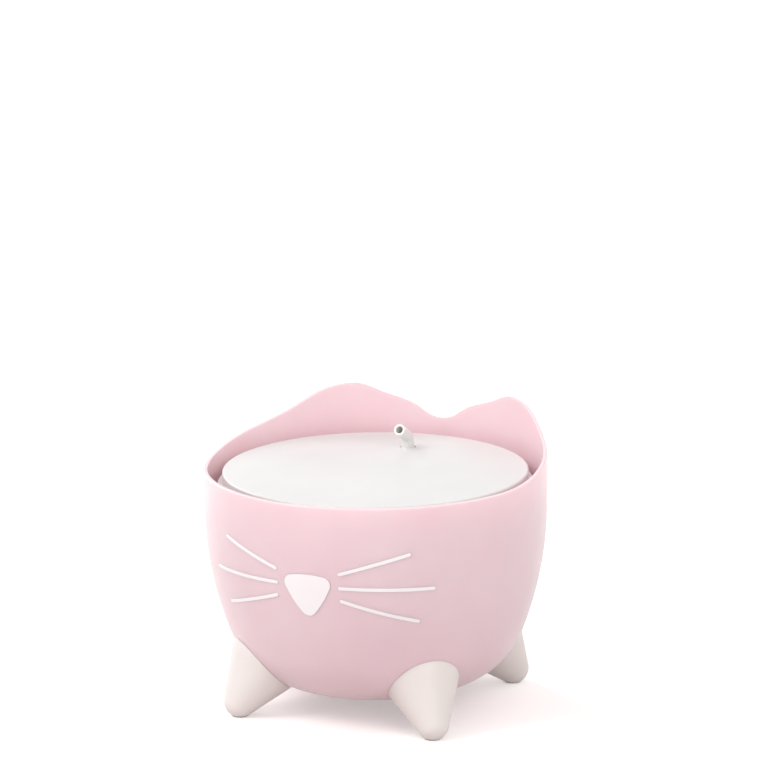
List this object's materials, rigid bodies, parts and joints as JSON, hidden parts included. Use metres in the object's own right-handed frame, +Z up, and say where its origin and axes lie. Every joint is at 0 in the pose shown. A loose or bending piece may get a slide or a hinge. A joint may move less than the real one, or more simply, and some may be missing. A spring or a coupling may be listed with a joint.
{
  "type": "pet water fountain",
  "caption": "Round drinking fountain for a cat: an eared bowl on feet with a nose and whiskers, a pump inside, a filter tray, a drinking lid and a bent spout.",
  "frame": {"origin": "on the ground, on the bowl's upright axis", "axes": "+Z up; the nose and the front of the lid look towards -Y, the ears stand at +Y, +X is to the right of someone facing the nose"},
  "size_m": [0.2505, 0.2645, 0.1856],
  "materials": {
    "bowl_pink_plastic": "satin gloss",
    "face_white_plastic": "gloss",
    "foot_cream_plastic": "satin gloss",
    "pad_rubber": "matte",
    "tray_white_plastic": "satin gloss",
    "pin_steel": "ground",
    "filter_film": "soft film",
    "carbon_granules": "granular",
    "resin_granules": "granular",
    "filter_fleece": "fibrous",
    "lid_white_plastic": "satin gloss",
    "spout_plastic": "satin gloss",
    "tube_silicone": "translucent, soft",
    "pump_plastic": "fine grain",
    "stator_steel": "varnished laminations",
    "coil_copper": "enamelled wire",
    "bush_rubber": "matte",
    "shaft_ceramic": "ground",
    "impeller_plastic": "moulded",
    "magnet_ferrite": "sintered",
    "lens_red": "clear red",
    "board_green": "solder mask",
    "suction_rubber": "clear, soft",
    "cord_pvc": "matte",
    "plug_plastic": "satin gloss",
    "plug_steel": "bright"
  },
  "bodies": {
    "bowl": {"bowl_shell": "bowl_pink_plastic", "pump_seat": "bowl_pink_plastic", "nose_inlay": "face_white_plastic", "whisker_inlays_left": "face_white_plastic", "whisker_inlays_right": "face_white_plastic", "foot_front_right": "foot_cream_plastic", "foot_rear_right": "foot_cream_plastic", "foot_rear_left": "foot_cream_plastic", "foot_front_left": "foot_cream_plastic", "foot_pads": "pad_rubber", "power_cord": "cord_pvc", "cord_coil": "cord_pvc", "cord_tail": "cord_pvc", "usb_plug_body": "plug_plastic", "usb_plug_shell": "plug_steel"},
    "pump": {"pump_housing": "pump_plastic", "pump_end_cap": "pump_plastic", "stator_core": "stator_steel", "stator_coil": "coil_copper", "impeller_cover": "pump_plastic", "shaft_bush_front": "bush_rubber", "shaft_bush_rear": "bush_rubber", "impeller_shaft": "shaft_ceramic", "light_board": "board_green", "suction_feet": "suction_rubber", "cord_gland": "cord_pvc"},
    "intake_cover": {"intake_cover": "pump_plastic", "light_lens": "lens_red"},
    "flow_slider": {"flow_slider": "impeller_plastic"},
    "impeller": {"impeller": "impeller_plastic", "rotor_magnet": "magnet_ferrite"},
    "riser": {"riser_tube": "tube_silicone"},
    "tray": {"filter_tray": "tray_white_plastic", "filter_well": "tray_white_plastic", "outlet_dome": "tray_white_plastic", "ring_hinge_pin": "pin_steel"},
    "ring": {"ring_handle": "tray_white_plastic"},
    "filter": {"filter_casing": "filter_film", "filter_pods": "filter_film", "filter_carbon": "carbon_granules", "filter_resin": "resin_granules", "filter_fleece": "filter_fleece"},
    "lid": {"lid": "lid_white_plastic", "lid_skirt": "lid_white_plastic"},
    "spout_collar": {"spout_collar": "spout_plastic"},
    "spout": {"spout_elbow": "spout_plastic"}
  },
  "joints": [
    {"name": "pump_lift", "type": "slide", "parent": "bowl", "child": "pump", "axis": [0, 0, 1], "range_m": [0, 0.118]},
    {"name": "intake_cover_slide", "type": "slide", "parent": "pump", "child": "intake_cover", "axis": [0.682, 0.7314, 0], "range_m": [-0.012, 0]},
    {"name": "flow_slide", "type": "slide", "parent": "intake_cover", "child": "flow_slider", "axis": [0.7314, -0.682, 0], "range_m": [-0.0018, 0.0018]},
    {"name": "impeller_spin", "type": "hinge", "parent": "pump", "child": "impeller", "pos_m": [0, 0.053, 0.051], "axis": [0.682, 0.7314, 0], "continuous": true},
    {"name": "riser_lift", "type": "slide", "parent": "pump", "child": "riser", "axis": [0, 0, 1], "range_m": [0, 0.013]},
    {"name": "tray_lift", "type": "slide", "parent": "riser", "child": "tray", "axis": [0, 0, 1], "range_m": [0, 0.025]},
    {"name": "ring_fold", "type": "hinge", "parent": "tray", "child": "ring", "pos_m": [0.0275, 0.053, 0.149], "axis": [1, 0, 0], "range_deg": [0, 90]},
    {"name": "filter_lift", "type": "slide", "parent": "tray", "child": "filter", "axis": [0, 0, 1], "range_m": [0, 0.058]},
    {"name": "lid_lift", "type": "slide", "parent": "filter", "child": "lid", "axis": [0, 0, 1], "range_m": [0, 0.025]},
    {"name": "spout_lift", "type": "slide", "parent": "lid", "child": "spout_collar", "axis": [0, 0, 1], "range_m": [0, 0.03]},
    {"name": "spout_swivel", "type": "hinge", "parent": "spout_collar", "child": "spout", "pos_m": [0, 0.053, 0.1566], "axis": [0, 0, 1], "continuous": true}
  ],
  "couplings": [
    {"joint": "ring_fold", "follows": "filter_lift", "rad_per_m": 27.083}
  ]
}
